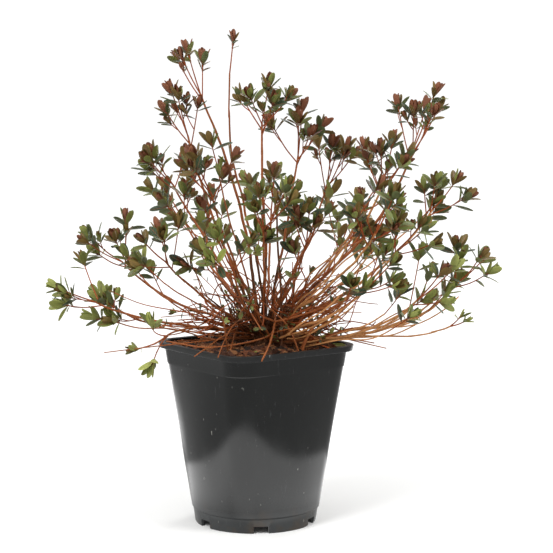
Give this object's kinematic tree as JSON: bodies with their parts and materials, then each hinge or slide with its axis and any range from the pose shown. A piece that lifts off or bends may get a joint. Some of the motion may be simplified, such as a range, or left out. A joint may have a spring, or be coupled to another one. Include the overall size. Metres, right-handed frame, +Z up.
{
  "type": "potted azalea shrub",
  "caption": "Small evergreen azalea with many thin arching stems and rosettes of small leaves, growing in a square-topped black plastic nursery pot.",
  "frame": {"origin": "middle of the pot's flat underside, on the surface it stands on", "axes": "+Z up, +X to the right and +Y to the back of the plant as it is usually looked at"},
  "size_m": [0.5125, 0.3633, 0.5451],
  "materials": {
    "pot_plastic": "smooth black moulded plastic with a soft gloss, small pale scuffs and dried soil near the foot",
    "potting_soil": "loose compost with brown bark chips and dry leaf litter",
    "bark": "thin orange-brown bark, darker and rougher on old wood",
    "leaves": "small half-glossy leaves, bronze-red when young and green when older"
  },
  "bodies": {
    "root": {"pot": "pot_plastic", "soil": "potting_soil", "foot": "bark", "bough_left_ground": "bark", "bough_left_low": "bark", "bough_left_mid": "bark", "bough_left_inner": "bark", "bough_left_upper": "bark", "bough_left_high_outer": "bark", "bough_left_high": "bark", "bough_top_left": "bark", "bough_top_spire": "bark", "bough_top_centre": "bark", "bough_centre_high": "bark", "bough_centre_right": "bark", "bough_centre_left": "bark", "bough_front_left": "bark", "bough_front_mid": "bark", "bough_front_right": "bark", "bough_top_right": "bark", "bough_right_high_inner": "bark", "bough_right_front": "bark", "bough_right_high": "bark", "bough_right_mid": "bark", "bough_right_low_outer": "bark", "bough_right_low": "bark", "bough_right_low_front": "bark", "bough_right_ground": "bark", "bough_back_left": "bark", "bough_back": "bark", "bough_back_right": "bark", "foliage_left_ground": "leaves", "foliage_left_low": "leaves", "foliage_left_mid": "leaves", "foliage_left_inner": "leaves", "foliage_left_upper": "leaves", "foliage_left_high_outer": "leaves", "foliage_left_high": "leaves", "foliage_top_left": "leaves", "foliage_top_spire": "leaves", "foliage_top_centre": "leaves", "foliage_centre_high": "leaves", "foliage_centre_right": "leaves", "foliage_centre_left": "leaves", "foliage_front_left": "leaves", "foliage_front_mid": "leaves", "foliage_front_right": "leaves", "foliage_top_right": "leaves", "foliage_right_high_inner": "leaves", "foliage_right_front": "leaves", "foliage_right_high": "leaves", "foliage_right_mid": "leaves", "foliage_right_low_outer": "leaves", "foliage_right_low": "leaves", "foliage_right_low_front": "leaves", "foliage_right_ground": "leaves", "foliage_back_left": "leaves", "foliage_back": "leaves", "foliage_back_right": "leaves"}
  },
  "joints": []
}
